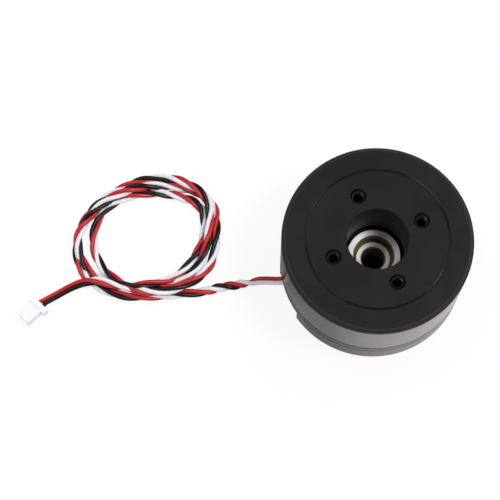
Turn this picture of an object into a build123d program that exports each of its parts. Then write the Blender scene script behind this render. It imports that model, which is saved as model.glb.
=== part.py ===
"""Outrunner brushless motor with a fixed hollow shaft, a wide rotor bore and a twisted three-wire lead.

Millimetres. The origin is the centre of the mounting face under the base cup and +Z is the spin
axis, pointing out of the rotor's face. The lead leaves the cup towards -X.
"""
import os
from math import cos, degrees, pi, radians, sin, sqrt, tan

from build123d import *

os.makedirs("parts", exist_ok=True)

# Outer size
motor_diameter = 46.0
motor_height = 27.0
top_edge_round = 0.8
edge_break = 0.25
mouth_break = 0.1

# Fits: slip is for pieces that seat in each other, light play for balls, screws and the plug's
# pocket, play for pieces that pass each other
slip = 0.01
light_play = 0.04
play = 0.35
running_gap = 0.4

# Base cup
cup_height = 6.8
cup_wall = 2.0
cup_floor = 2.2
foot_chamfer = 0.4
mount_circle_diameter = 25.0
mount_hole_count = 4
mount_hole_angle = 45.0
mount_boss_radius = 3.0
mount_hole_depth = 5.0
mount_boss_cap = 0.7
m3_radius = 1.5
m3_mouth_radius = 1.92
notch_right_y = -1.2
notch_left_y = -12.5
notch_height = 5.4
notch_floor_reach = 3.2

# Stator frame: the disc and tube that carry the stator core
seam_gap = 0.3
seam_depth = 0.7
rim_height = 2.5
rim_wall = 2.4
disc_thickness = 1.7
spigot_wall = 1.4
spigot_depth = 0.8
tube_wall = 1.4
core_shoulder_width = 0.8
post_radius = 2.5
post_wall_gap = 1.0
post_count = 4
post_angle = 60.0
screw_radius = 1.0
screw_head_radius = 1.9
screw_length = 6.0
screw_slot_width = 0.4
screw_slot_length = 2.2
screw_slot_depth = 0.45
screw_sink = 0.05

# Ball bearings, two alike
bearing_bore_radius = 3.5
bearing_outer_radius = 6.5
bearing_width = 3.0
bearing_section = bearing_outer_radius - bearing_bore_radius
ring_wall = 0.225 * bearing_section
ball_radius = 0.3 * bearing_section
cage_wall = 0.3 * bearing_section
ball_count = 11
shield_thickness = 0.15
shield_recess = 0.1
cage_under = 0.35
cage_over = 0.85

# Bearing stack on the hollow shaft
shaft_bore_radius = 3.0
shaft_flange_radius = 6.5
shaft_flange_thickness = 1.0
spacer_wall = 0.6
spacer_height = 0.7
washer_wall = 0.4
washer_thickness = 0.2
retainer_outer_radius = 6.6
retainer_bore_radius = 5.05
retainer_height = 3.0

# Rotor bell
bore_radius = 7.45
relief_lift = 0.2
relief_depth = 1.8
relief_reach = 0.6
hub_wall = 1.2
hub_lip_width = 0.5
hub_floor_gap = 0.4
plate_thickness = 3.6
skirt_wall = 1.3
groove_radius = 17.2
groove_width = 0.55
groove_depth = 0.22
face_circle_diameter = 23.0
face_hole_count = 4
face_hole_angle = 21.4

# Magnetic circuit
flux_wall = 1.2
flux_lift = 0.3
flux_top_gap = 1.6
magnet_thickness = 1.4
magnet_cover = 0.8
magnet_count = 22
magnet_overhang = 0.4
air_gap = 0.35
tooth_count = 24
tooth_width = 1.3
back_iron_share = 0.305
shoe_thickness = 0.8
slot_opening = 0.8
insulator_thickness = 0.4
coil_side = 0.75
coil_play = 0.05
coil_end_room = 0.3
coil_corner = 0.5
winding_floor_gap = 1.3
winding_roof_gap = 2.0

# Three-wire lead: wires, splices inside the cup, route on the table and plug
wire_count = 3
wire_radius = 0.55
cable_radius = wire_radius * (1 + 1 / sin(pi / wire_count))
enamel_radius = 0.3
sleeve_wall = 0.25
lead_inset = 3.7
lead_drop_gap = 2.1
lead_drop = 1.0
table_clearance = 0.02
corner_share = 0.45
plug_width = 3.4
plug_length = 5.9
plug_height = 2.9
plug_flange_width = 5.3
plug_flange_length = 1.5
plug_flange_extra = 0.3
plug_pocket_depth = 0.9
plug_pitch = 1.0
plug_cavity_width = 0.7
plug_cavity_height = 0.8
plug_edge = 0.15
contact_wall = 0.08
contact_length = 4.0
contact_lift = 0.35

# Radii that follow from the sizes above, from the outside in
motor_radius = motor_diameter / 2
skirt_inner = motor_radius - skirt_wall
flux_outer = skirt_inner - slip
flux_inner = flux_outer - flux_wall
magnet_pitch = 2 * pi / magnet_count
magnet_width = magnet_cover * 2 * (flux_inner - magnet_thickness) * tan(magnet_pitch / 2)
magnet_outer = sqrt((flux_inner - slip) ** 2 - (magnet_width / 2) ** 2)
magnet_inner = magnet_outer - magnet_thickness
core_radius = magnet_inner - air_gap
shoe_inner = core_radius - shoe_thickness
cup_inner = motor_radius - cup_wall
rim_inner = motor_radius - rim_wall
spigot_outer = cup_inner - slip
post_circle = cup_inner - post_wall_gap - post_radius

# and from the bore out
hub_outer = bore_radius + hub_wall
tube_inner = hub_outer + play
tube_outer = tube_inner + tube_wall
core_bore = tube_outer + slip
core_shoulder = tube_outer + core_shoulder_width
insulator_bore = core_shoulder + slip
back_iron_radius = tube_outer + back_iron_share * (core_radius - tube_outer)
shaft_radius = bearing_bore_radius - slip
pitch_radius = (bearing_bore_radius + bearing_outer_radius) / 2
inner_ring_radius = bearing_bore_radius + ring_wall
outer_ring_bore = bearing_outer_radius - ring_wall

# Heights that follow, from the mounting face up
lower_bearing_z = cup_floor + spacer_height
upper_bearing_z = lower_bearing_z + bearing_width + washer_thickness
stack_top = upper_bearing_z + bearing_width
retainer_top = stack_top + retainer_height
relief_top = retainer_top + relief_lift
relief_floor = retainer_top - relief_depth
hub_bottom = cup_floor + hub_floor_gap
rim_top = cup_height + rim_height
skirt_bottom = rim_top + running_gap
plate_underside = motor_height - plate_thickness
disc_top = cup_height + disc_thickness
flux_bottom = skirt_bottom + flux_lift
flux_top = plate_underside - flux_top_gap
coil_overhang = insulator_thickness + coil_play + coil_side
core_bottom = disc_top + winding_floor_gap + coil_overhang
core_top = plate_underside - winding_roof_gap - coil_overhang
core_height = core_top - core_bottom
core_middle = (core_top + core_bottom) / 2
tooth_pitch = 360 / tooth_count


def write(piece, label):
    """Label a finished piece and write it as its own STEP file."""
    piece.part.label = label
    export_step(piece.part, f"parts/{label}.step")


def tube_ring(inner, outer, bottom, top):
    """Extrude a plain ring between two heights in the part that is being built."""
    with BuildSketch(Plane.XY.offset(bottom)) as section:
        Circle(outer)
        Circle(inner, mode=Mode.SUBTRACT)
    extrude(section.sketch, amount=top - bottom)


def corner_radii(points):
    """Give each corner of a route the largest arc that its two runs leave room for."""
    radii = []
    for before, corner, after in zip(points, points[1:], points[2:]):
        arriving = Vector(*corner) - Vector(*before)
        leaving = Vector(*after) - Vector(*corner)
        half_turn = radians(arriving.get_angle(leaving)) / 2
        radii.append(corner_share * min(arriving.length, leaving.length) / tan(half_turn))
    return radii


def sweep_round(points, radius):
    """Sweep a round section along straight runs joined by tangent arcs; give the path's length."""
    with BuildLine():
        path = FilletPolyline(*points, radius=corner_radii(points))
    with BuildSketch(Plane(origin=path @ 0, z_dir=path % 0)) as section:
        Circle(radius)
    sweep(section.sketch, path=path)
    return path.length


# Rotor bell: face plate, skirt and hub turned in one piece
with BuildPart() as rotor_bell:
    with BuildSketch(Plane.XZ):
        with BuildLine():
            Polyline(
                (bore_radius, motor_height),
                (motor_radius, motor_height),
                (motor_radius, skirt_bottom),
                (skirt_inner, skirt_bottom),
                (skirt_inner, plate_underside),
                (hub_outer, plate_underside),
                (hub_outer, hub_bottom),
                (bearing_outer_radius - hub_lip_width, hub_bottom),
                (bearing_outer_radius - hub_lip_width, lower_bearing_z),
                (bearing_outer_radius + slip, lower_bearing_z),
                (bearing_outer_radius + slip, stack_top),
                (retainer_outer_radius + slip, stack_top),
                (retainer_outer_radius + slip, relief_floor),
                (bore_radius + relief_reach, relief_floor),
                (bore_radius + relief_reach, relief_top),
                (bore_radius, relief_top),
                close=True,
            )
        make_face()
    revolve(axis=Axis.Z)
    face_edges = rotor_bell.faces().sort_by(Axis.Z)[-1].edges().sort_by(SortBy.RADIUS)
    fillet(face_edges[-1], top_edge_round)
    chamfer(face_edges[0], mouth_break)
    circles = rotor_bell.edges().filter_by(GeomType.CIRCLE)
    skirt_edges = circles.filter_by_position(Axis.Z, skirt_bottom - slip, skirt_bottom + slip)
    chamfer(skirt_edges.sort_by(SortBy.RADIUS)[-1], edge_break)
    with BuildSketch(Plane.XZ):
        with BuildLine():
            Polyline(
                (groove_radius - groove_width / 2, motor_height),
                (groove_radius, motor_height - groove_depth),
                (groove_radius + groove_width / 2, motor_height),
                close=True,
            )
        make_face()
    revolve(axis=Axis.Z, mode=Mode.SUBTRACT)
    with Locations(Plane.XY.offset(motor_height)):
        with PolarLocations(face_circle_diameter / 2, face_hole_count, start_angle=face_hole_angle):
            CounterSinkHole(radius=m3_radius, counter_sink_radius=m3_mouth_radius, depth=plate_thickness)
write(rotor_bell, "rotor_bell")

# Steel flux ring pressed into the skirt
with BuildPart() as flux_ring:
    tube_ring(flux_inner, flux_outer, flux_bottom, flux_top)
write(flux_ring, "flux_ring")

# Block magnets glued inside the flux ring, north and south facing in by turns
magnet_height = core_height + 2 * magnet_overhang
for turn, magnet_label in enumerate(("magnets_north", "magnets_south")):
    with BuildPart() as magnets:
        with Locations((0, 0, core_middle)):
            with PolarLocations(
                (magnet_inner + magnet_outer) / 2,
                magnet_count // 2,
                start_angle=turn * degrees(magnet_pitch),
            ):
                Box(magnet_thickness, magnet_width, magnet_height)
    write(magnets, magnet_label)

# Retainer ring above the upper bearing
with BuildPart() as bearing_retainer:
    tube_ring(retainer_bore_radius, retainer_outer_radius, stack_top, retainer_top)
    retainer_edges = bearing_retainer.faces().sort_by(Axis.Z)[-1].edges()
    chamfer(retainer_edges, edge_break / 2)
write(bearing_retainer, "bearing_retainer")

# Washer that keeps the two outer rings apart
with BuildPart() as preload_washer:
    tube_ring(
        bearing_outer_radius - washer_wall,
        bearing_outer_radius,
        lower_bearing_z + bearing_width,
        upper_bearing_z,
    )
write(preload_washer, "preload_washer")


def make_bearing(base_z, prefix):
    """Build one shielded ball bearing: two rings, two shields, a crown cage and its balls."""
    middle = base_z + bearing_width / 2
    race_radius = ball_radius + light_play

    for ring_label, inner, outer in (
        ("inner_ring", bearing_bore_radius, inner_ring_radius),
        ("outer_ring", outer_ring_bore, bearing_outer_radius),
    ):
        with BuildPart() as ring:
            tube_ring(inner, outer, base_z, base_z + bearing_width)
            with BuildSketch(Plane.XZ):
                with Locations((pitch_radius, middle)):
                    Circle(race_radius)
            revolve(axis=Axis.Z, mode=Mode.SUBTRACT)
        write(ring, f"{prefix}_bearing_{ring_label}")

    shield_inner = inner_ring_radius + light_play
    shield_outer = outer_ring_bore - slip
    with BuildPart() as shields:
        for shield_z in (
            base_z + shield_recess,
            base_z + bearing_width - shield_recess - shield_thickness,
        ):
            tube_ring(shield_inner, shield_outer, shield_z, shield_z + shield_thickness)
    write(shields, f"{prefix}_bearing_shields")

    with BuildPart() as cage:
        tube_ring(
            pitch_radius - cage_wall / 2,
            pitch_radius + cage_wall / 2,
            middle - cage_under,
            middle + cage_over,
        )
        with Locations((0, 0, middle)):
            with PolarLocations(pitch_radius, ball_count):
                Sphere(race_radius, mode=Mode.SUBTRACT)
    write(cage, f"{prefix}_ball_cage")

    with BuildPart() as balls:
        with Locations((0, 0, middle)):
            with PolarLocations(pitch_radius, ball_count):
                Sphere(ball_radius)
    write(balls, f"{prefix}_bearing_balls")


make_bearing(upper_bearing_z, "upper")
make_bearing(lower_bearing_z, "lower")

# Hollow shaft, with a flange let into the underside of the cup
with BuildPart() as hollow_shaft:
    tube_ring(shaft_bore_radius, shaft_radius, 0, stack_top)
    tube_ring(shaft_bore_radius, shaft_flange_radius, 0, shaft_flange_thickness)
    shaft_ends = hollow_shaft.edges().filter_by(GeomType.CIRCLE).group_by(Axis.Z)
    chamfer(shaft_ends[-1].sort_by(SortBy.RADIUS)[0], edge_break)
    chamfer(shaft_ends[0].sort_by(SortBy.RADIUS)[0], edge_break)
write(hollow_shaft, "hollow_shaft")

# Spacer that lifts the lower inner ring off the cup's floor
with BuildPart() as shaft_spacer:
    tube_ring(bearing_bore_radius, bearing_bore_radius + spacer_wall, cup_floor, lower_bearing_z)
write(shaft_spacer, "shaft_spacer")

# Base cup: floor with tapped bosses, wall, and the notch for the lead
underside = Plane(origin=(0, 0, 0), x_dir=(1, 0, 0), z_dir=(0, 0, -1))
with BuildPart() as base_cup:
    with BuildSketch():
        Circle(motor_radius)
    extrude(amount=cup_height)
    chamfer(base_cup.faces().sort_by(Axis.Z)[0].edges(), foot_chamfer)
    with BuildSketch(Plane.XY.offset(cup_floor)):
        Circle(cup_inner)
    extrude(amount=cup_height - cup_floor, mode=Mode.SUBTRACT)
    with BuildSketch(Plane.XY.offset(cup_floor)):
        with PolarLocations(mount_circle_diameter / 2, mount_hole_count, start_angle=mount_hole_angle):
            Circle(mount_boss_radius)
    extrude(amount=mount_hole_depth + mount_boss_cap - cup_floor)
    with BuildSketch():
        Circle(shaft_flange_radius + slip)
    extrude(amount=shaft_flange_thickness, mode=Mode.SUBTRACT)
    with BuildSketch():
        Circle(bearing_bore_radius)
    extrude(amount=cup_floor, mode=Mode.SUBTRACT)
    with Locations(underside):
        with PolarLocations(mount_circle_diameter / 2, mount_hole_count, start_angle=-mount_hole_angle):
            CounterSinkHole(radius=m3_radius, counter_sink_radius=m3_mouth_radius, depth=mount_hole_depth)
        with PolarLocations(post_circle, post_count, start_angle=-post_angle):
            CounterSinkHole(
                radius=screw_radius + light_play,
                counter_sink_radius=screw_head_radius + light_play + screw_sink,
                depth=cup_floor,
            )
    with BuildSketch():
        with Locations((-motor_radius, (notch_left_y + notch_right_y) / 2)):
            Rectangle(2 * (cup_wall + notch_floor_reach), notch_right_y - notch_left_y)
    extrude(amount=notch_height, mode=Mode.SUBTRACT)
write(base_cup, "base_cup")

# Splices and phase leads stand in line with the lead's first point, just inside the cup's wall
lead_start = (lead_inset - motor_radius, -2.9, 4.1)
lead_drop_x = -core_shoulder - lead_drop_gap
splice_end_x = lead_drop_x - lead_drop
splice_circle = (wire_radius + sleeve_wall) / sin(pi / wire_count)
splice_centres = [
    (
        lead_start[1] + splice_circle * cos(radians(angle)),
        lead_start[2] + splice_circle * sin(radians(angle)),
    )
    for angle in (90, 210, 330)
]
lead_window_width = 2 * (splice_circle + wire_radius + sleeve_wall)

# Stator frame: disc, rim, spigot, core tube and screw posts in one casting
with BuildPart() as stator_frame:
    tube_ring(tube_inner, motor_radius, cup_height, disc_top)
    tube_ring(rim_inner, motor_radius, cup_height, rim_top)
    tube_ring(spigot_outer - spigot_wall, spigot_outer, cup_height - spigot_depth, cup_height)
    tube_ring(tube_inner, core_shoulder, disc_top, core_bottom)
    tube_ring(tube_inner, tube_outer, core_bottom, core_top)
    with BuildSketch(Plane.XY.offset(cup_height)):
        Circle(motor_radius)
        Circle(motor_radius - seam_depth, mode=Mode.SUBTRACT)
    extrude(amount=seam_gap, mode=Mode.SUBTRACT)
    with BuildSketch(Plane.XY.offset(cup_floor)):
        with PolarLocations(post_circle, post_count, start_angle=post_angle):
            Circle(post_radius)
            Circle(screw_radius + slip, mode=Mode.SUBTRACT)
    extrude(amount=cup_height - cup_floor)
    with BuildSketch(Plane.XY.offset(cup_height)):
        with Locations((lead_drop_x, lead_start[1])):
            Rectangle(lead_window_width, lead_window_width)
    extrude(amount=disc_thickness, mode=Mode.SUBTRACT)
write(stator_frame, "stator_frame")

# Countersunk screws that close the cup to the frame's posts
with BuildPart() as screw_form:
    with BuildSketch(Plane.XZ):
        with BuildLine():
            Polyline(
                (0, screw_sink),
                (screw_head_radius, screw_sink),
                (screw_radius, screw_sink + screw_head_radius - screw_radius),
                (screw_radius, screw_length),
                (0, screw_length),
                close=True,
            )
        make_face()
    revolve(axis=Axis.Z)
    with BuildSketch(Plane.XY.offset(screw_sink)):
        Rectangle(screw_slot_length, screw_slot_width)
        Rectangle(screw_slot_width, screw_slot_length)
    extrude(amount=screw_slot_depth, mode=Mode.SUBTRACT)
with BuildPart() as frame_screws:
    with PolarLocations(post_circle, post_count, start_angle=post_angle):
        add(screw_form.part)
write(frame_screws, "frame_screws")


def draw_lamination(bore, tooth):
    """Draw the stator's toothed section in the sketch that is being built."""
    Circle(core_radius)
    Circle(shoe_inner, mode=Mode.SUBTRACT)
    Circle(back_iron_radius)
    with PolarLocations((back_iron_radius + shoe_inner) / 2, tooth_count):
        Rectangle(shoe_inner - back_iron_radius + 2 * slip + shoe_thickness, tooth)
    with PolarLocations((shoe_inner + core_radius) / 2, tooth_count, start_angle=tooth_pitch / 2):
        Rectangle(2 * shoe_thickness, slot_opening, mode=Mode.SUBTRACT)
    Circle(bore, mode=Mode.SUBTRACT)


# Laminated core and the insulating end plates on both its faces
with BuildPart() as stator_core:
    with BuildSketch(Plane.XY.offset(core_bottom)):
        draw_lamination(core_bore, tooth_width)
    extrude(amount=core_height)
write(stator_core, "stator_core")

with BuildPart() as insulator_lower:
    with BuildSketch(Plane.XY.offset(core_bottom - insulator_thickness)):
        draw_lamination(insulator_bore, tooth_width)
    extrude(amount=insulator_thickness)
write(insulator_lower, "insulator_lower")

with BuildPart() as insulator_upper:
    with BuildSketch(Plane.XY.offset(core_top)):
        draw_lamination(insulator_bore, tooth_width)
    extrude(amount=insulator_thickness)
write(insulator_upper, "insulator_upper")

# One coil, then eight coils for each of the three phases, on pairs of neighbouring teeth
tooth_hole_width = tooth_width + 2 * coil_play
tooth_hole_height = core_height + 2 * (insulator_thickness + coil_play)
coil_start = back_iron_radius + coil_end_room
with BuildPart() as coil_form:
    with BuildSketch(Plane.YZ.offset(coil_start)):
        with Locations((0, core_middle)):
            RectangleRounded(
                tooth_hole_width + 2 * coil_side,
                tooth_hole_height + 2 * coil_side,
                coil_corner,
            )
            Rectangle(tooth_hole_width, tooth_hole_height, mode=Mode.SUBTRACT)
    extrude(amount=shoe_inner - coil_end_room - coil_start)

for phase, winding_label in enumerate(("winding_phase_a", "winding_phase_b", "winding_phase_c")):
    with BuildPart() as winding:
        for tooth in (2 * phase, 2 * phase + 1):
            with PolarLocations(0, tooth_count // 6, start_angle=tooth * tooth_pitch):
                add(coil_form.part)
    write(winding, winding_label)

# Enamelled phase leads, from the windings down through the frame's window to the splices
winding_underside = core_middle - tooth_hole_height / 2 - coil_side
with BuildPart() as phase_leads:
    for side, height in splice_centres:
        sweep_round(
            [
                (lead_drop_x, side, winding_underside),
                (lead_drop_x, side, height),
                (splice_end_x, side, height),
            ],
            enamel_radius,
        )
write(phase_leads, "phase_leads")

# Shrink sleeves over the three solder joints
with BuildPart() as splice_sleeves:
    for side, height in splice_centres:
        with BuildSketch(Plane.YZ.offset(lead_start[0])):
            with Locations((side, height)):
                Circle(wire_radius + sleeve_wall - slip)
        extrude(amount=splice_end_x - lead_start[0])
write(splice_sleeves, "splice_sleeves")

# The lead's stretch from the splices out through the notch and along the table to the coil.
# Each route below gives X from the cup's outer face.
table_z = cable_radius + table_clearance
lead_route = [
    (1.7, -2.9, 4.1),
    (-0.4, -2.93, 3.65),
    (-2.9, -3.0, 2.7),
    (-5.6, -3.2, 1.75),
    (-8.4, -3.6, table_z),
    (-11.7, -4.15, table_z),
    (-15.2, -4.75, table_z),
    (-18.8, -5.4, table_z),
    (-22.3, -5.75, table_z),
    (-26.3, -5.6, table_z),
]
lead_points = [lead_start] + [(x - motor_radius, y, z) for x, y, z in lead_route]
with BuildPart() as cable_lead:
    lead_length = sweep_round(lead_points, cable_radius)
write(cable_lead, "cable_lead")

# Three loose turns of the lead, as the ring-shaped heap that they fill
coil_reach = 33.6
coil_centre = (-coil_reach - motor_radius, 9.4)
coil_outer_x = 18.8
coil_outer_y = 16.7
coil_inner_x = 12.0
coil_inner_y = 10.6
coil_height = 4.8
coil_round = 1.6
with BuildPart() as cable_coil:
    with BuildSketch():
        with Locations(coil_centre):
            Ellipse(coil_outer_x, coil_outer_y)
            Ellipse(coil_inner_x, coil_inner_y, mode=Mode.SUBTRACT)
    extrude(amount=coil_height)
    fillet(cable_coil.faces().sort_by(Axis.Z)[-1].edges(), coil_round)
write(cable_coil, "cable_coil")

# Plug: its frame has +X from the wire end to the mating end
plug_reach = 60.4
plug_wire_end = (-plug_reach - motor_radius, -7.5)
plug_turn = -137.0
plug_frame = Plane(
    origin=(*plug_wire_end, 0),
    x_dir=(cos(radians(plug_turn)), sin(radians(plug_turn)), 0),
    z_dir=(0, 0, 1),
)
plug_middle_z = plug_height / 2 + plug_flange_extra / 2
plug_back = Plane(
    origin=plug_frame.from_local_coords((0, 0, plug_middle_z)),
    x_dir=plug_frame.y_dir,
    z_dir=plug_frame.x_dir,
)

# The stretch from the coil to the plug
plug_approach = 2.6
tail_approach = plug_frame.from_local_coords((-plug_approach, 0, plug_middle_z))
tail_end = plug_frame.from_local_coords((plug_pocket_depth, 0, plug_middle_z))
tail_route = [
    (-45.6, -2.5, 3.4),
    (-48.3, -2.55, 3.3),
    (-50.9, -2.95, 2.5),
    (-53.6, -3.6, 1.8),
    (-56.2, -4.55, 1.55),
]
tail_points = [(x - motor_radius, y, z) for x, y, z in tail_route]
tail_points += [tuple(tail_approach), tuple(tail_end)]
with BuildPart() as cable_tail:
    tail_length = sweep_round(tail_points, cable_radius)
write(cable_tail, "cable_tail")

with BuildPart() as plug_housing:
    with BuildSketch(plug_frame.offset(plug_flange_extra / 2)):
        Rectangle(plug_length, plug_width, align=(Align.MIN, Align.CENTER))
    extrude(amount=plug_height)
    with BuildSketch(plug_frame):
        Rectangle(plug_flange_length, plug_flange_width, align=(Align.MIN, Align.CENTER))
    extrude(amount=plug_height + plug_flange_extra)
    fillet(plug_housing.edges().filter_by(Axis.Z), plug_edge)
    with BuildSketch(plug_back):
        Circle(cable_radius + light_play)
    extrude(amount=plug_pocket_depth, mode=Mode.SUBTRACT)
    with BuildSketch(plug_back.offset(plug_pocket_depth)):
        with GridLocations(plug_pitch, 0, wire_count, 1):
            Rectangle(plug_cavity_width, plug_cavity_height)
    extrude(amount=plug_length - plug_pocket_depth, mode=Mode.SUBTRACT)
write(plug_housing, "plug_housing")

# Folded contacts, one in each cavity
with BuildPart() as plug_contacts:
    with BuildSketch(plug_back.offset(plug_pocket_depth + contact_lift)):
        with GridLocations(plug_pitch, 0, wire_count, 1):
            Rectangle(plug_cavity_width - 2 * slip, plug_cavity_height - 2 * slip)
            Rectangle(
                plug_cavity_width - 2 * contact_wall,
                plug_cavity_height - 2 * contact_wall,
                mode=Mode.SUBTRACT,
            )
    extrude(amount=contact_length)
write(plug_contacts, "plug_contacts")

# Arc radii of the two free stretches, and their volumes against section times length
for stretch, points, tube, length in (
    ("lead", lead_points, cable_lead, lead_length),
    ("tail", tail_points, cable_tail, tail_length),
):
    wanted = pi * cable_radius**2 * length
    print(stretch, "radii", [round(radius, 1) for radius in corner_radii(points)])
    print(stretch, "length", round(length, 2), "volume", round(tube.part.volume / wanted, 4))
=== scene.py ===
"""Looks of the brushless motor: camera, lights, materials, threads, twisted lead and plug.

The scene is in metres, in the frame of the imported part: the origin is the centre of the motor's
mounting face, +Z is the spin axis, and the lead leaves the base cup towards -X. Lengths below are
in millimetres unless a name says otherwise.
"""
import math

import bpy
from mathutils import Matrix, Vector


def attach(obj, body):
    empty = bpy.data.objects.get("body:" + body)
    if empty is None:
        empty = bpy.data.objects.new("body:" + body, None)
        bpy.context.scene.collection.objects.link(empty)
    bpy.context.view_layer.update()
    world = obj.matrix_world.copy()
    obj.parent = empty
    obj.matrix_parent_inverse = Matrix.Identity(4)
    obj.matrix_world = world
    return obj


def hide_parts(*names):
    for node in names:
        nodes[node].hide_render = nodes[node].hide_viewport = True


MM = 0.001
MOTOR_HEIGHT = 27.0

# Places on the CAD pieces that get a tint of their own, most of it painted shade: radii from the
# spin axis, and heights
ROTOR_BORE_RADIUS = 7.5
RELIEF_RADIUS = 8.1
RELIEF_TOP = 12.32
RIM_RADIUS = 22.1
RIM_BOTTOM = 25.4
FACE_HOLE_RADII = (9.0, 14.0)
COUNTERSINK_Z = (26.3, 26.96)
SEAM_RADIUS = 22.0
SEAM_Z = (6.72, 7.18)
RETAINER_BORE_RADIUS = 5.09
SHAFT_BORE_RADIUS = 3.05

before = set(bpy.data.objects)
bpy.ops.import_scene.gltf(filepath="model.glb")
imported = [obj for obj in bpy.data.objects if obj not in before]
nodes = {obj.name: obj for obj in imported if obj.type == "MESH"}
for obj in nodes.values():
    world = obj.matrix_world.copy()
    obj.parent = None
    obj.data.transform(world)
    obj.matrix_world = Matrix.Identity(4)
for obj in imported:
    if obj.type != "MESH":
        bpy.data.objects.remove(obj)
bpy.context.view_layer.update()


# ---- small helpers


def metres(point):
    """A point in millimetres as a vector in metres."""
    return Vector(point) * MM


def srgb(red, green, blue):
    """A colour given as 0..255 screen values, as linear values."""
    def linear(value):
        value /= 255
        return value / 12.92 if value <= 0.04045 else ((value + 0.055) / 1.055) ** 2.4
    return (linear(red), linear(green), linear(blue), 1.0)


def smooth(value, low, high):
    """0 below low, 1 above high, and an even ease in between."""
    share = min(1.0, max(0.0, (value - low) / (high - low)))
    return share * share * (3 - 2 * share)


def new_mesh_object(name, vertices, faces, material, smooth_faces=True):
    """A mesh object from points in millimetres."""
    mesh = bpy.data.meshes.new(name)
    mesh.from_pydata([metres(v) for v in vertices], [], faces)
    mesh.validate()
    mesh.polygons.foreach_set("use_smooth", [smooth_faces] * len(mesh.polygons))
    mesh.materials.append(material)
    piece = bpy.data.objects.new(name, mesh)
    bpy.context.collection.objects.link(piece)
    return piece


# ---- camera, at the photograph's place and angle

CAMERA_TILT = math.radians(15.61)
CAMERA_ROLL = math.radians(1.51)
# From the centre of the rotor's face, along the camera's own axes
CAMERA_OFFSET = (-30.43, -2.7, 389.9)
LENS = 118.0
SENSOR = 36.0

camera_data = bpy.data.cameras.new("camera")
camera_data.lens = LENS
camera_data.sensor_width = SENSOR
camera_data.clip_start = 0.01
camera_data.clip_end = 20.0
camera = bpy.data.objects.new("camera", camera_data)
bpy.context.collection.objects.link(camera)
camera_turn = Matrix.Rotation(CAMERA_TILT, 4, "X") @ Matrix.Rotation(-CAMERA_ROLL, 4, "Z")
camera_place = camera_turn @ Vector(CAMERA_OFFSET) + Vector((0, 0, MOTOR_HEIGHT))
camera.matrix_world = Matrix.Translation(metres(camera_place)) @ camera_turn
bpy.context.scene.camera = camera


# ---- materials

# The values between which most noise lies
NOISE_RANGE = (0.3, 0.7)
# Half the width over which a tint fades at its limits
MASK_EDGE = 0.03
# A surface's fine bump: its grain as a share of the patches' grain, and its strength
FINE_GRAIN = 1 / 8
FINE_BUMP = 0.4
# Turning marks: how much they waver, and their strength
RING_WAVER = 0.6
RING_BUMP = 0.35


def start_material(name):
    """A new node material and its parts: the tree, the shader and the object's own coordinates."""
    material = bpy.data.materials.new(name)
    material.use_nodes = True
    tree = material.node_tree
    shader = tree.nodes["Principled BSDF"]
    place = tree.nodes.new("ShaderNodeTexCoord").outputs["Object"]
    return material, tree, shader, place


def add_noise(tree, place, grain, detail=3.0, stretch=None):
    """Noise whose grain is about that many millimetres wide; stretch squeezes it along axes."""
    noise = tree.nodes.new("ShaderNodeTexNoise")
    noise.inputs["Scale"].default_value = 1 / (grain * MM)
    noise.inputs["Detail"].default_value = detail
    if stretch:
        mapping = tree.nodes.new("ShaderNodeMapping")
        mapping.inputs["Scale"].default_value = stretch
        tree.links.new(place, mapping.inputs["Vector"])
        place = mapping.outputs["Vector"]
    tree.links.new(place, noise.inputs["Vector"])
    return noise.outputs["Fac"]


def fade_value(tree, value, low, high, first, last, eased=False):
    """A value that goes from first to last, as another value goes from low to high."""
    fade = tree.nodes.new("ShaderNodeMapRange")
    if eased:
        fade.interpolation_type = "SMOOTHSTEP"
    fade.inputs["From Min"].default_value = low
    fade.inputs["From Max"].default_value = high
    fade.inputs["To Min"].default_value = first
    fade.inputs["To Max"].default_value = last
    tree.links.new(value, fade.inputs["Value"])
    return fade.outputs["Result"]


def rough_by_noise(tree, noise, rough, shader):
    """Roughness that goes from the first to the second number over the noise's usual range."""
    tree.links.new(fade_value(tree, noise, *NOISE_RANGE, *rough), shader.inputs["Roughness"])


def feed(tree, value, socket):
    """Give a socket a plain value, or link another socket to it."""
    if isinstance(value, bpy.types.NodeSocket):
        tree.links.new(value, socket)
    else:
        socket.default_value = value


def mix_colours(tree, factor, first, second):
    """Mix two colours, each a tuple or a socket, by a socket's value."""
    mix = tree.nodes.new("ShaderNodeMix")
    mix.data_type = "RGBA"
    tree.links.new(factor, mix.inputs["Factor"])
    # The colour sockets share their names with the value sockets, so they go by number
    feed(tree, first, mix.inputs[6])
    feed(tree, second, mix.inputs[7])
    return mix.outputs[2]


def mix_values(tree, factor, first, second):
    """Mix two values, each a number or a socket, by a socket's value."""
    mix = tree.nodes.new("ShaderNodeMix")
    tree.links.new(factor, mix.inputs["Factor"])
    feed(tree, first, mix.inputs["A"])
    feed(tree, second, mix.inputs["B"])
    return mix.outputs["Result"]


def add_bump(tree, shader, height, strength, depth):
    """Bump of that depth in millimetres from a height socket."""
    bump = tree.nodes.new("ShaderNodeBump")
    bump.inputs["Strength"].default_value = strength
    bump.inputs["Distance"].default_value = depth * MM
    tree.links.new(height, bump.inputs["Height"])
    if shader.inputs["Normal"].is_linked:
        tree.links.new(shader.inputs["Normal"].links[0].from_socket, bump.inputs["Normal"])
    tree.links.new(bump.outputs["Normal"], shader.inputs["Normal"])


def add_rings(tree, place, pitch, waver):
    """Concentric turning marks about the spin axis, a pitch apart in millimetres."""
    rings = tree.nodes.new("ShaderNodeTexWave")
    rings.wave_type = "RINGS"
    rings.rings_direction = "Z"
    rings.inputs["Scale"].default_value = math.pi / (10 * pitch * MM)
    rings.inputs["Distortion"].default_value = waver
    rings.inputs["Detail"].default_value = 2.0
    tree.links.new(place, rings.inputs["Vector"])
    return rings.outputs["Fac"]


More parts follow.
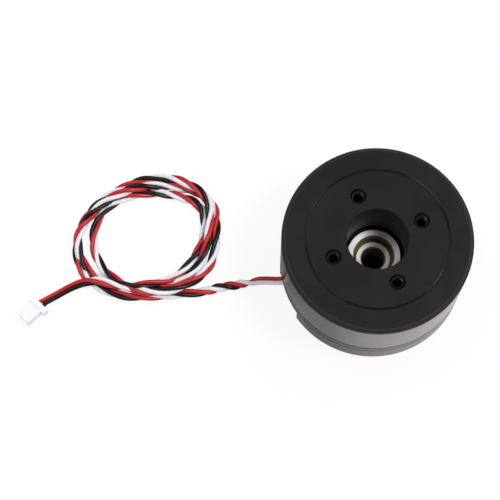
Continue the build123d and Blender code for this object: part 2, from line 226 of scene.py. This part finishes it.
def surface(name, dark, light, grain, rough, metallic=0.0, specular=0.5, bump=0.01, rings=None,
            stretch=None):
    """A finished surface: two close colours, roughness that varies, fine bump, turning marks."""
    material, tree, shader, place = start_material(name)
    shader.inputs["Metallic"].default_value = metallic
    shader.inputs["Specular IOR Level"].default_value = specular
    patches = add_noise(tree, place, grain, stretch=stretch)
    tree.links.new(mix_colours(tree, patches, dark, light), shader.inputs["Base Color"])
    rough_by_noise(tree, patches, rough, shader)
    add_bump(tree, shader, add_noise(tree, place, grain * FINE_GRAIN), FINE_BUMP, bump)
    if rings:
        add_bump(tree, shader, add_rings(tree, place, rings, RING_WAVER), RING_BUMP, bump)
    return material


def math_value(tree, operation, first, second):
    """The result of a sum of two values, each a number or a socket."""
    node = tree.nodes.new("ShaderNodeMath")
    node.operation = operation
    feed(tree, first, node.inputs[0])
    feed(tree, second, node.inputs[1])
    return node.outputs["Value"]


def axis_value(tree, place, axis):
    """One coordinate of a place, by its letter."""
    parts = tree.nodes.new("ShaderNodeSeparateXYZ")
    tree.links.new(place, parts.inputs["Vector"])
    return parts.outputs[axis]


def radius_mask(tree, place, inner, outer):
    """1 nearer to the spin axis than inner, 0 past outer, in millimetres."""
    flat = tree.nodes.new("ShaderNodeVectorMath")
    flat.operation = "MULTIPLY"
    flat.inputs[1].default_value = (1, 1, 0)
    tree.links.new(place, flat.inputs[0])
    length = tree.nodes.new("ShaderNodeVectorMath")
    length.operation = "LENGTH"
    tree.links.new(flat.outputs["Vector"], length.inputs[0])
    return fade_value(tree, length.outputs["Value"], inner * MM, outer * MM, 1.0, 0.0)


def tint(material, colour, rough, inner=None, outer=None, low=None, high=None):
    """Give part of a surface another colour and roughness.

    The part lies between two radii and between two heights, each a limit in millimetres or none.
    """
    tree = material.node_tree
    shader = tree.nodes["Principled BSDF"]
    place = next(n for n in tree.nodes if n.type == "TEX_COORD").outputs["Object"]
    height = axis_value(tree, place, "Z")
    masks = []
    if outer is not None:
        masks.append(radius_mask(tree, place, outer - MASK_EDGE, outer + MASK_EDGE))
    if inner is not None:
        within = radius_mask(tree, place, inner - MASK_EDGE, inner + MASK_EDGE)
        masks.append(math_value(tree, "SUBTRACT", 1.0, within))
    for limit, below, above in ((high, 1.0, 0.0), (low, 0.0, 1.0)):
        if limit is not None:
            edge = ((limit - MASK_EDGE) * MM, (limit + MASK_EDGE) * MM)
            masks.append(fade_value(tree, height, *edge, below, above))
    mask = masks[0]
    for other in masks[1:]:
        mask = math_value(tree, "MULTIPLY", mask, other)
    body = shader.inputs["Base Color"].links[0].from_socket
    tree.links.new(mix_colours(tree, mask, body, colour), shader.inputs["Base Color"])
    body = shader.inputs["Roughness"].links[0].from_socket
    tree.links.new(mix_values(tree, mask, body, rough), shader.inputs["Roughness"])


def wire_jacket(name, colour, shade):
    """Soft smooth insulation with faint waves along it."""
    material, tree, shader, place = start_material(name)
    shader.inputs["Specular IOR Level"].default_value = 0.45
    waves = add_noise(tree, place, 2.5, detail=2.0)
    tree.links.new(mix_colours(tree, waves, shade, colour), shader.inputs["Base Color"])
    rough_by_noise(tree, waves, (0.3, 0.42), shader)
    add_bump(tree, shader, add_noise(tree, place, 1.2, detail=1.0), 0.2, 0.01)
    return material


rotor_black = surface("rotor_black", (0.0064, 0.006, 0.0088, 1), (0.0074, 0.007, 0.01, 1), 6.0,
                      (0.2, 0.22), specular=0.8, bump=0.003, rings=0.18)
# The bore wall is rougher, and its brownish colour is a painted warm reflection
tint(rotor_black, (0.009, 0.0055, 0.0042, 1), 0.55, outer=ROTOR_BORE_RADIUS)
# Painted shade: the relief groove below the retainer is near black and fully rough
tint(rotor_black, (0.001, 0.001, 0.001, 1), 1.0, outer=RELIEF_RADIUS, high=RELIEF_TOP)
# The rim band is rougher, and its darker colour is painted shade on the edge
tint(rotor_black, (0.003, 0.002, 0.0018, 1), 0.8, inner=RIM_RADIUS, low=RIM_BOTTOM)
# The countersinks are glossier, and their darker colour is painted shade in the hole mouths
tint(rotor_black, (0.001, 0.001, 0.0014, 1), 0.14, inner=FACE_HOLE_RADII[0],
     outer=FACE_HOLE_RADII[1], low=COUNTERSINK_Z[0], high=COUNTERSINK_Z[1])
thread_black = surface("thread_black", (0.05, 0.05, 0.053, 1), (0.075, 0.075, 0.079, 1), 1.2,
                       (0.2, 0.24), metallic=0.7, bump=0.004)
base_black = surface("base_black", (0.0068, 0.0064, 0.0072, 1), (0.0088, 0.0084, 0.0094, 1), 5.0,
                     (0.25, 0.28), specular=0.38, bump=0.004, rings=0.2)
# Painted shade: the seam gap between the cup and the frame is darker and rough
tint(base_black, (0.003, 0.003, 0.003, 1), 0.9, inner=SEAM_RADIUS, low=SEAM_Z[0], high=SEAM_Z[1])
natural_aluminium = surface("natural_aluminium", (0.76, 0.75, 0.77, 1), (0.92, 0.91, 0.92, 1),
                            0.9, (0.46, 0.56), metallic=0.75, bump=0.03, rings=0.12)
tint(natural_aluminium, (0.38, 0.29, 0.2, 1), 0.45, outer=RETAINER_BORE_RADIUS)
ground_steel = surface("ground_steel", (0.84, 0.74, 0.64, 1), (0.93, 0.84, 0.75, 1), 1.5,
                       (0.46, 0.52), metallic=0.6, bump=0.02, rings=0.1)
shaft_steel = surface("shaft_steel", (0.97, 0.92, 0.84, 1), (1.0, 0.98, 0.91, 1), 1.5,
                      (0.46, 0.52), metallic=0.6, bump=0.02, rings=0.1)
# Painted shade: the inside of the hollow shaft is a darker grey
tint(shaft_steel, (0.3, 0.3, 0.31, 1), 0.6, outer=SHAFT_BORE_RADIUS)
bearing_shield = surface("bearing_shield", (0.055, 0.058, 0.026, 1), (0.095, 0.1, 0.052, 1), 1.2,
                         (0.35, 0.5), metallic=1.0, bump=0.006, rings=0.15)
cage_brass = surface("cage_brass", (0.55, 0.38, 0.16, 1), (0.72, 0.55, 0.28, 1), 1.0,
                     (0.3, 0.45), metallic=1.0)
screw_steel = surface("screw_steel", (0.035, 0.035, 0.038, 1), (0.06, 0.06, 0.064, 1), 0.8,
                      (0.35, 0.5), metallic=1.0)
flux_steel = surface("flux_steel", (0.45, 0.45, 0.47, 1), (0.58, 0.58, 0.6, 1), 3.0,
                     (0.35, 0.5), metallic=1.0)
magnet_nickel = surface("magnet_nickel", (0.5, 0.49, 0.45, 1), (0.64, 0.62, 0.58, 1), 2.0,
                        (0.2, 0.35), metallic=1.0)
lamination_steel = surface("lamination_steel", (0.26, 0.26, 0.27, 1), (0.4, 0.4, 0.42, 1), 1.0,
                           (0.4, 0.55), metallic=1.0, stretch=(0.2, 0.2, 6.0))
# Painted shade: the insulators are near black, so that the inside of the motor seen through the
# holes stays dark
insulator_board = surface("insulator_board", (0.014, 0.014, 0.015, 1), (0.022, 0.022, 0.024, 1),
                          1.5, (0.5, 0.65))
enamelled_copper = surface("enamelled_copper", (0.3, 0.08, 0.02, 1), (0.45, 0.15, 0.05, 1), 0.6,
                           (0.25, 0.35), metallic=0.7)
shrink_sleeve = surface("shrink_sleeve", (0.02, 0.02, 0.021, 1), (0.035, 0.035, 0.037, 1), 1.5,
                        (0.45, 0.6))
contact_bronze = surface("contact_bronze", (0.6, 0.52, 0.36, 1), (0.78, 0.7, 0.52, 1), 0.8,
                         (0.25, 0.4), metallic=1.0)
red_jacket = wire_jacket("red_jacket", srgb(190, 33, 38), srgb(172, 25, 31))
black_jacket = wire_jacket("black_jacket", srgb(13, 12, 13), srgb(9, 8, 9))
white_jacket = wire_jacket("white_jacket", srgb(232, 228, 234), srgb(221, 217, 225))

node_materials = {
    "rotor_bell": rotor_black,
    "base_cup": base_black,
    "stator_frame": base_black,
    "bearing_retainer": natural_aluminium,
    "hollow_shaft": shaft_steel,
    "shaft_spacer": ground_steel,
    "preload_washer": ground_steel,
    "upper_bearing_inner_ring": ground_steel,
    "lower_bearing_inner_ring": ground_steel,
    "upper_bearing_outer_ring": ground_steel,
    "lower_bearing_outer_ring": ground_steel,
    "upper_bearing_balls": ground_steel,
    "lower_bearing_balls": ground_steel,
    "upper_bearing_shields": bearing_shield,
    "lower_bearing_shields": bearing_shield,
    "upper_ball_cage": cage_brass,
    "lower_ball_cage": cage_brass,
    "frame_screws": screw_steel,
    "flux_ring": flux_steel,
    "magnets_north": magnet_nickel,
    "magnets_south": magnet_nickel,
    "stator_core": lamination_steel,
    "insulator_lower": insulator_board,
    "insulator_upper": insulator_board,
    "winding_phase_a": enamelled_copper,
    "winding_phase_b": enamelled_copper,
    "winding_phase_c": enamelled_copper,
    "phase_leads": enamelled_copper,
    "splice_sleeves": shrink_sleeve,
    "plug_contacts": contact_bronze,
}
for node, material in node_materials.items():
    for slot in nodes[node].material_slots:
        slot.material = material


# ---- the lead: route, then three twisted wires that follow it

WIRE_RADIUS = 0.55
WIRE_SIDES = 14
SLEEVE_WALL = 0.25
STRAND_CIRCLE = 2 * WIRE_RADIUS / math.sqrt(3)
SLEEVE_CIRCLE = 2 * (WIRE_RADIUS + SLEEVE_WALL) / math.sqrt(3)
CABLE_DIAMETER = 2 * (WIRE_RADIUS + STRAND_CIRCLE)
TABLE_Z = CABLE_DIAMETER / 2 + 0.02
SPLINE_STEPS = 24
LINE_STEP = 0.4

LEAD_ROUTE = [
    (-19.3, -2.95, 4.1), (-21.1, -3.5, 4.0), (-23.1, -3.85, 3.55), (-25.3, -3.45, 2.6),
    (-27.9, -3.15, 1.9), (-30.8, -3.2, 1.5), (-34.4, -3.95, TABLE_Z), (-38.1, -4.2, TABLE_Z),
    (-41.6, -5.3, TABLE_Z), (-45.3, -5.6, TABLE_Z),
]

# The coil's turns, clockwise in even steps: radius from the centre, and height. The spline cuts
# its control points' corners, so the points lie a little further out.
COIL_CENTRE = (-56.6, 9.4)
COIL_STEP = 30
COIL_START = 270
SPLINE_PULL = 1.035
COIL_TURNS = [
    (15.2, 1.2), (16.9, 1.2), (18.8, 1.2), (17.9, 1.2), (15.6, 1.2), (14.3, 1.2),
    (15.1, 1.5), (16.7, 2.9), (18.2, 3.3), (15.5, 3.1), (15.4, 2.2), (14.6, 1.3),
    (13.1, 1.25), (14.4, 1.2), (17.4, 1.2), (17.7, 3.2), (14.4, 2.9), (12.95, 2.95),
    (13.0, 2.3), (15.0, 1.3), (19.3, 1.2), (17.3, 1.2), (17.9, 1.2), (16.0, 3.0),
    (14.7, 3.15), (13.8, 2.9), (13.8, 1.3), (13.6, 1.2), (13.4, 1.2), (11.9, 1.2),
    (11.5, 1.2), (12.6, 1.2), (16.1, 1.2), (14.5, 1.2), (13.0, 1.2), (12.8, 1.3),
    (12.6, 3.2),
]

PLUG_WIRE_END = (-83.4, -7.5)
PLUG_TURN = math.radians(-137)
PLUG_MIDDLE_Z = 1.6
plug_along = Vector((math.cos(PLUG_TURN), math.sin(PLUG_TURN), 0))
plug_across = Vector((-math.sin(PLUG_TURN), math.cos(PLUG_TURN), 0))


def plug_point(along, across, height):
    """A point of the plug, from places along and across it, as a point of the scene."""
    flat = Vector((*PLUG_WIRE_END, 0)) + plug_along * along + plug_across * across
    return (flat.x, flat.y, height)


TAIL_ROUTE = [
    (-60.3, -4.2, 3.4), (-63.6, -3.7, 3.4), (-66.4, -2.95, 3.45), (-69.0, -2.35, 3.45),
    (-71.6, -2.35, 3.1), (-74.2, -2.95, 2.3), (-77.0, -4.2, 1.75), (-80.0, -5.8, 1.5),
    (-82.1, -6.85, 1.5), plug_point(0.9, 0, PLUG_MIDDLE_Z),
]

coil_route = []
for index, (radius, height) in enumerate(COIL_TURNS):
    angle = math.radians(COIL_START - COIL_STEP * index)
    reach = radius * SPLINE_PULL
    coil_route.append((
        COIL_CENTRE[0] + reach * math.cos(angle),
        COIL_CENTRE[1] + reach * math.sin(angle),
        max(height, TABLE_Z),
    ))


def read_spline(name, route):
    """The points of a NURBS spline that has the route as its control points, in millimetres."""
    data = bpy.data.curves.new(name, "CURVE")
    data.dimensions = "3D"
    data.resolution_u = SPLINE_STEPS
    spline = data.splines.new("NURBS")
    spline.points.add(len(route) - 1)
    for point, place in zip(spline.points, route):
        point.co = (*metres(place), 1.0)
    spline.order_u = 3
    spline.use_endpoint_u = True
    bare = bpy.data.objects.new(name, data)
    mesh = bpy.data.meshes.new_from_object(bare)
    line = [v.co / MM for v in mesh.vertices]
    bpy.data.objects.remove(bare)
    bpy.data.meshes.remove(mesh)
    bpy.data.curves.remove(data)
    return line


def space_evenly(line, step):
    """Points a step apart along a line, and the distance of each from the line's start."""
    spaced, travel, due = [line[0]], 0.0, step
    for before, after in zip(line, line[1:]):
        run = (after - before).length
        while run > 0 and travel + run >= due:
            spaced.append(before.lerp(after, (due - travel) / run))
            due += step
        travel += run
    if (spaced[-1] - line[-1]).length > step / 4:
        spaced.append(line[-1])
    distances = [0.0]
    for before, after in zip(spaced, spaced[1:]):
        distances.append(distances[-1] + (after - before).length)
    return spaced, distances


def frames_along(line):
    """The tangent and two crosswise directions at each point, turned as little as can be."""
    tangents = []
    for index in range(len(line)):
        ahead = line[min(index + 1, len(line) - 1)]
        behind = line[max(index - 1, 0)]
        tangents.append((ahead - behind).normalized())
    first = Vector((0, 0, 1))
    frames = []
    for tangent in tangents:
        first = (first - tangent * first.dot(tangent)).normalized()
        frames.append((tangent, first, tangent.cross(first)))
    return frames


def tube_mesh(line, radius, sides, vertices, faces):
    """Add a closed tube around a line to lists of vertices and faces."""
    base = len(vertices)
    for point, (_, first, second) in zip(line, frames_along(line)):
        for side in range(sides):
            turn = 2 * math.pi * side / sides
            vertices.append(point + (first * math.cos(turn) + second * math.sin(turn)) * radius)
    for ring in range(len(line) - 1):
        for side in range(sides):
            after = (side + 1) % sides
            low, high = base + ring * sides, base + (ring + 1) * sides
            faces.append((low + side, low + after, high + after, high + side))
    faces.append(tuple(base + side for side in reversed(range(sides))))
    last = base + (len(line) - 1) * sides
    faces.append(tuple(last + side for side in range(sides)))


cable_route = LEAD_ROUTE + coil_route + TAIL_ROUTE
cable_line, cable_travel = space_evenly(read_spline("cable_route", cable_route), LINE_STEP)
cable_length = cable_travel[-1]
cable_frames = frames_along(cable_line)

# The twist, in turns, at distances along the cable. Both ends follow the photo. In the coil between
# them the twist sways a little, as in a lead twisted by hand; each sway has a size in turns, a
# length and a phase.
LEAD_TWIST = [
    (0.0, -0.125), (11.6, -0.125), (12.6, -0.07), (14.4, 0.23), (17.2, 0.56), (20.4, 0.88),
    (23.0, 1.22), (28.1, 1.52),
]
TAIL_TWIST = [
    (cable_length - 20.5, 21), (cable_length - 16.0, 21.25), (cable_length - 13.6, 21.42),
    (cable_length - 8.5, 21.5), (cable_length, 21.5),
]
twist_table = LEAD_TWIST + TAIL_TWIST
TWIST_BLUR = range(-3, 4)
SWAY_STARTS = (32, 50)
SWAY_ENDS = (cable_length - 45, cable_length - 24)
SWAYS = ((0.15, 17, 0), (0.04, 7.3, 1))


def read_table(table, value):
    """Straight-line reading of a table of pairs."""
    value = min(table[-1][0], max(table[0][0], value))
    for (low, first), (high, last) in zip(table, table[1:]):
        if value <= high:
            return first + (last - first) * (value - low) / (high - low)


def twist_at(travel):
    """The twist, in turns, at a distance along the cable."""
    near = [read_table(twist_table, travel + step * LINE_STEP) for step in TWIST_BLUR]
    in_coil = smooth(travel, *SWAY_STARTS) * (1 - smooth(travel, *SWAY_ENDS))
    sway = sum(size * math.cos(travel / length + phase) for size, length, phase in SWAYS)
    return sum(near) / len(near) + in_coil * sway


# The wires' angles about the cable's line, in degrees. Near the motor they lie side by side: red
# and white on top, black under them. Where the twist starts, red passes between the two others, and
# they make room for it. Pairs of numbers are the distances along the cable where a change starts
# and ends.
IN_SLEEVES = {"red": 0, "white": -120, "black": 120}
SIDE_BY_SIDE = {"red": 75, "white": -45, "black": 195}
TWISTED = {"red": 240, "white": 0, "black": 120}
LEAVE_SLEEVES = (0.5, 4.0)
CLOSE_UP = (0.5, 3.0)
BLACK_WAITS_AT = 150
BLACK_TURNS = (11.0, 13.5)
RED_CROSSES = (9.2, 14.2)
ROOM = {"red": 0.0, "white": 0.2, "black": 0.45}
FAN_OUT = (cable_length - 1.8, cable_length - 0.5)
PLUG_ROW = {"red": -1, "white": 0, "black": 1}
PLUG_PITCH = 0.85


def wire_place(index, name):
    """Where one wire runs at a point of the cable's line."""
    travel = cable_travel[index]
    _, up, right = cable_frames[index]
    turn = 360 * twist_at(travel)
    angle = IN_SLEEVES[name]
    angle += (SIDE_BY_SIDE[name] - angle) * smooth(travel, *LEAVE_SLEEVES)
    across = smooth(travel, *RED_CROSSES)
    if name == "white" and travel > LEAVE_SLEEVES[1]:
        angle = turn
    elif name == "black" and travel > LEAVE_SLEEVES[1]:
        angle += (BLACK_WAITS_AT - angle) * smooth(travel, *BLACK_TURNS)
        angle = max(angle, TWISTED[name] + turn)
    apart = ROOM[name] * math.sin(math.pi * across) ** 2
    circle = SLEEVE_CIRCLE + (STRAND_CIRCLE - SLEEVE_CIRCLE) * smooth(travel, *CLOSE_UP)

    def offset(degrees):
        """The wire's place beside the line, at an angle from straight up to the travel's right."""
        return up * math.cos(math.radians(degrees)) + right * math.sin(math.radians(degrees))

    beside = offset(angle) * (circle + apart)
    if name == "red" and travel > RED_CROSSES[0]:
        beside = beside.lerp(offset(TWISTED[name] + max(turn, 0)) * circle, across)
    place = cable_line[index] + beside
    row = cable_line[index] + plug_across * PLUG_PITCH * PLUG_ROW[name]
    place = place.lerp(row, smooth(travel, *FAN_OUT))
    place.z = max(place.z, WIRE_RADIUS)
    return place


wire_materials = (red_jacket, white_jacket, black_jacket)
wire_vertices, wire_faces, face_slots = [], [], []
for slot_index, name in enumerate(("red", "white", "black")):
    before = len(wire_faces)
    wire_line = [wire_place(index, name) for index in range(len(cable_line))]
    tube_mesh(wire_line, WIRE_RADIUS, WIRE_SIDES, wire_vertices, wire_faces)
    face_slots += [slot_index] * (len(wire_faces) - before)
cable = new_mesh_object("twisted_lead", wire_vertices, wire_faces, wire_materials[0])
for material in wire_materials[1:]:
    cable.data.materials.append(material)
cable.data.polygons.foreach_set("material_index", face_slots)
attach(cable, "stator")
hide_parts("cable_lead", "cable_coil", "cable_tail")


# ---- plug: the housing's milky nylon

plug_nylon, plug_tree, plug_shader, plug_place = start_material("plug_nylon")
plug_shader.inputs["Roughness"].default_value = 0.32
plug_shader.inputs["Subsurface Weight"].default_value = 0.15
plug_shader.inputs["Subsurface Radius"].default_value = (0.0012, 0.0012, 0.0014)
plug_cloud = add_noise(plug_tree, plug_place, 1.5)
plug_tree.links.new(
    mix_colours(plug_tree, plug_cloud, srgb(226, 223, 232), srgb(234, 231, 240)),
    plug_shader.inputs["Base Color"],
)
add_bump(plug_tree, plug_shader, add_noise(plug_tree, plug_place, 0.3), 0.3, 0.01)

for slot in nodes["plug_housing"].material_slots:
    slot.material = plug_nylon


# ---- threads in the tapped holes, M3

THREAD_OUTER = 1.5
THREAD_INNER = 1.25
THREAD_PITCH = 0.5
THREAD_STEPS = 28
THREAD_RUN_OUT = 0.6
# Half widths of the ridge, as shares of the pitch, and how far its root sinks into the wall
ROOT_HALF = 0.46
CREST_HALF = 0.07
ROOT_SINK = 0.02
# How far the ridge may pass the threaded length, below and above
END_ROOM = (0.05, 0.2)


def add_thread(vertices, faces, centre, low, high):
    """A right-hand thread ridge inside one hole, tapered out at both ends."""
    turns = (high - low) / THREAD_PITCH
    count = int(turns * THREAD_STEPS)
    base = len(vertices)
    for step in range(count + 1):
        turn = step / THREAD_STEPS
        run_out = 1 - smooth(turn, turns - THREAD_RUN_OUT, turns)
        fade = smooth(turn, 0, THREAD_RUN_OUT) * run_out
        crest = THREAD_OUTER - (THREAD_OUTER - THREAD_INNER) * fade
        angle = 2 * math.pi * turn
        z = low + turn * THREAD_PITCH
        for reach, lift in (
            (THREAD_OUTER + ROOT_SINK, -ROOT_HALF * THREAD_PITCH),
            (crest, -CREST_HALF * THREAD_PITCH),
            (crest, CREST_HALF * THREAD_PITCH),
            (THREAD_OUTER + ROOT_SINK, ROOT_HALF * THREAD_PITCH),
        ):
            vertices.append((
                centre[0] + reach * math.cos(angle),
                centre[1] + reach * math.sin(angle),
                min(high + END_ROOM[1], max(low - END_ROOM[0], z + lift)),
            ))
    for step in range(count):
        for corner in range(3):
            here, there = base + 4 * step + corner, base + 4 * (step + 1) + corner
            faces.append((here, here + 1, there + 1, there))
        here, there = base + 4 * step, base + 4 * (step + 1)
        faces.append((here + 3, here, there, there + 3))
    faces.append((base + 3, base + 2, base + 1, base))
    last = base + 4 * count
    faces.append((last, last + 1, last + 2, last + 3))


def add_threads(name, circle, count, first_angle, low, high, material, body):
    """The threads of a circle of holes, between two heights, as one piece on a body."""
    vertices, faces = [], []
    for index in range(count):
        angle = math.radians(first_angle + 360 * index / count)
        centre = (circle * math.cos(angle), circle * math.sin(angle))
        add_thread(vertices, faces, centre, low, high)
    piece = new_mesh_object(name, vertices, faces, material, smooth_faces=False)
    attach(piece, body)


add_threads("face_hole_threads", circle=11.5, count=4, first_angle=21.4, low=23.65, high=26.45,
            material=thread_black, body="rotor")
add_threads("base_hole_threads", circle=12.5, count=4, first_angle=45, low=0.6, high=4.7,
            material=thread_black, body="stator")


# ---- floor

# Half the floor's side and its depth below the motor, in metres
FLOOR_HALF = 2.0
FLOOR_DROP = 0.00002
FLOOR_PALE = (0.9, 0.9, 0.9, 1)
# Painted shade under the motor: the floor's colour there
FLOOR_SHADE_UNDER_MOTOR = (0.01, 0.01, 0.01, 1)
UNDER_MOTOR_RADII = (20.0, 21.5)
FLOOR_GLOW = 0.88
# What a mirror surface sees of the floor: darker strengths near the motor on one side, a painted
# shadow, and a faint pink tint, a painted reflection colour
MIRRORED_FLOOR = (0.44, 1.0)
MIRRORED_TINT = (1.0, 0.93, 0.965, 1)
LIT_WAY = (0.8, -0.6)
LIT_FROM = (-2, 20)
DARK_LEFT = 0.46
DARK_LEFT_X = (-26, -22)
FAR_OFF_RADII = (40.0, 90.0)
WHITE = (1.0, 1.0, 1.0, 1.0)

floor_mesh = bpy.data.meshes.new("floor")
floor_corners = [
    (x * FLOOR_HALF, y * FLOOR_HALF, 0) for x, y in ((-1, -1), (1, -1), (1, 1), (-1, 1))
]
floor_mesh.from_pydata(floor_corners, [], [(0, 1, 2, 3)])
floor = bpy.data.objects.new("floor", floor_mesh)
floor.location.z = -FLOOR_DROP
bpy.context.collection.objects.link(floor)
floor_material = bpy.data.materials.new("floor_white")
floor_material.use_nodes = True
floor_tree = floor_material.node_tree
floor_tree.nodes.clear()
floor_out = floor_tree.nodes.new("ShaderNodeOutputMaterial")
floor_diffuse = floor_tree.nodes.new("ShaderNodeBsdfDiffuse")
floor_glow = floor_tree.nodes.new("ShaderNodeEmission")
floor_mix = floor_tree.nodes.new("ShaderNodeMixShader")


def seen_rays(tree):
    """1 for rays from the camera or from a mirror or glass surface, else 0."""
    path = tree.nodes.new("ShaderNodeLightPath")
    total = path.outputs["Is Camera Ray"]
    for name in ("Is Glossy Ray", "Is Transmission Ray"):
        add = tree.nodes.new("ShaderNodeMath")
        add.operation = "ADD"
        add.use_clamp = True
        tree.links.new(total, add.inputs[0])
        tree.links.new(path.outputs[name], add.inputs[1])
        total = add.outputs["Value"]
    return total


floor_place = floor_tree.nodes.new("ShaderNodeTexCoord").outputs["Object"]
# Painted shade under the motor: between these radii the floor turns near black and loses its glow
under_motor = radius_mask(floor_tree, floor_place, *UNDER_MOTOR_RADII)
floor_tree.links.new(
    mix_colours(floor_tree, under_motor, FLOOR_PALE, FLOOR_SHADE_UNDER_MOTOR),
    floor_diffuse.inputs["Color"],
)
share = fade_value(floor_tree, under_motor, 0.0, 1.0, FLOOR_GLOW, 0.0)
floor_tree.links.new(
    math_value(floor_tree, "MULTIPLY", seen_rays(floor_tree), share), floor_mix.inputs["Fac"]
)

# In a mirror the floor near the motor is shaded on the left, as in the photo
floor_x, floor_y = (axis_value(floor_tree, floor_place, axis) for axis in "XY")
lit_way = math_value(
    floor_tree, "ADD", math_value(floor_tree, "MULTIPLY", floor_x, LIT_WAY[0]),
    math_value(floor_tree, "MULTIPLY", floor_y, LIT_WAY[1]),
)
lit = fade_value(floor_tree, lit_way, *(d * MM for d in LIT_FROM), *MIRRORED_FLOOR, eased=True)
dark_left = fade_value(floor_tree, floor_x, *(x * MM for x in DARK_LEFT_X), DARK_LEFT, 1.0)
near = math_value(floor_tree, "MULTIPLY", lit, dark_left)
far_off = radius_mask(floor_tree, floor_place, *FAR_OFF_RADII)
near_or_far = mix_values(floor_tree, far_off, MIRRORED_FLOOR[1], near)
from_camera = floor_tree.nodes.new("ShaderNodeLightPath").outputs["Is Camera Ray"]
floor_tree.links.new(
    mix_values(floor_tree, from_camera, near_or_far, 1.0), floor_glow.inputs["Strength"]
)
floor_tree.links.new(
    mix_colours(floor_tree, from_camera, MIRRORED_TINT, WHITE), floor_glow.inputs["Color"]
)
floor_tree.links.new(floor_diffuse.outputs["BSDF"], floor_mix.inputs[1])
floor_tree.links.new(floor_glow.outputs["Emission"], floor_mix.inputs[2])
floor_tree.links.new(floor_mix.outputs["Shader"], floor_out.inputs["Surface"])
floor_mesh.materials.append(floor_material)


# ---- world: a mirror surface sees dark walls and, overhead, a little lighter ceiling

SKY_ON_OBJECT = 0.5
HORIZON = 0.04
CEILING = 0.075
CEILING_FROM = (0.0, 0.3)

world = bpy.data.worlds.new("studio")
bpy.context.scene.world = world
world.use_nodes = True
world_tree = world.node_tree
sky = world_tree.nodes["Background"]
sky.inputs["Color"].default_value = WHITE
direction = world_tree.nodes.new("ShaderNodeTexCoord").outputs["Generated"]
upward = axis_value(world_tree, direction, "Z")
ceiling = fade_value(world_tree, upward, *CEILING_FROM, HORIZON, CEILING, eased=True)
camera_ray = world_tree.nodes.new("ShaderNodeLightPath").outputs["Is Camera Ray"]
mirrored = mix_values(world_tree, camera_ray, ceiling, 1.0)
world_tree.links.new(
    mix_values(world_tree, seen_rays(world_tree), SKY_ON_OBJECT, mirrored), sky.inputs["Strength"]
)


# ---- lamps


def add_lamp(name, place, aim, size, power):
    """A square soft lamp that shines on a point; places and size in metres, power in watts."""
    data = bpy.data.lights.new(name, "AREA")
    data.shape = "SQUARE"
    data.size = size
    data.energy = power
    lamp = bpy.data.objects.new(name, data)
    bpy.context.collection.objects.link(lamp)
    lamp.location = place
    lamp.rotation_euler = (Vector(aim) - Vector(place)).to_track_quat("-Z", "Y").to_euler()


add_lamp("key_lamp", (0.45, 0.5, 0.75), (-0.02, 0, 0), 0.5, 1.7)
add_lamp("fill_lamp", (-0.55, -0.35, 0.7), (-0.02, 0, 0), 0.6, 1.0)
add_lamp("right_lamp", (0.38, -0.06, 0.82), (0.0, 0, 0), 0.22, 4.0)
add_lamp("left_lamp", (-0.27, 0.25, 0.82), (0.0, 0, 0), 0.22, 1.0)

bpy.context.scene.view_settings.view_transform = "Standard"
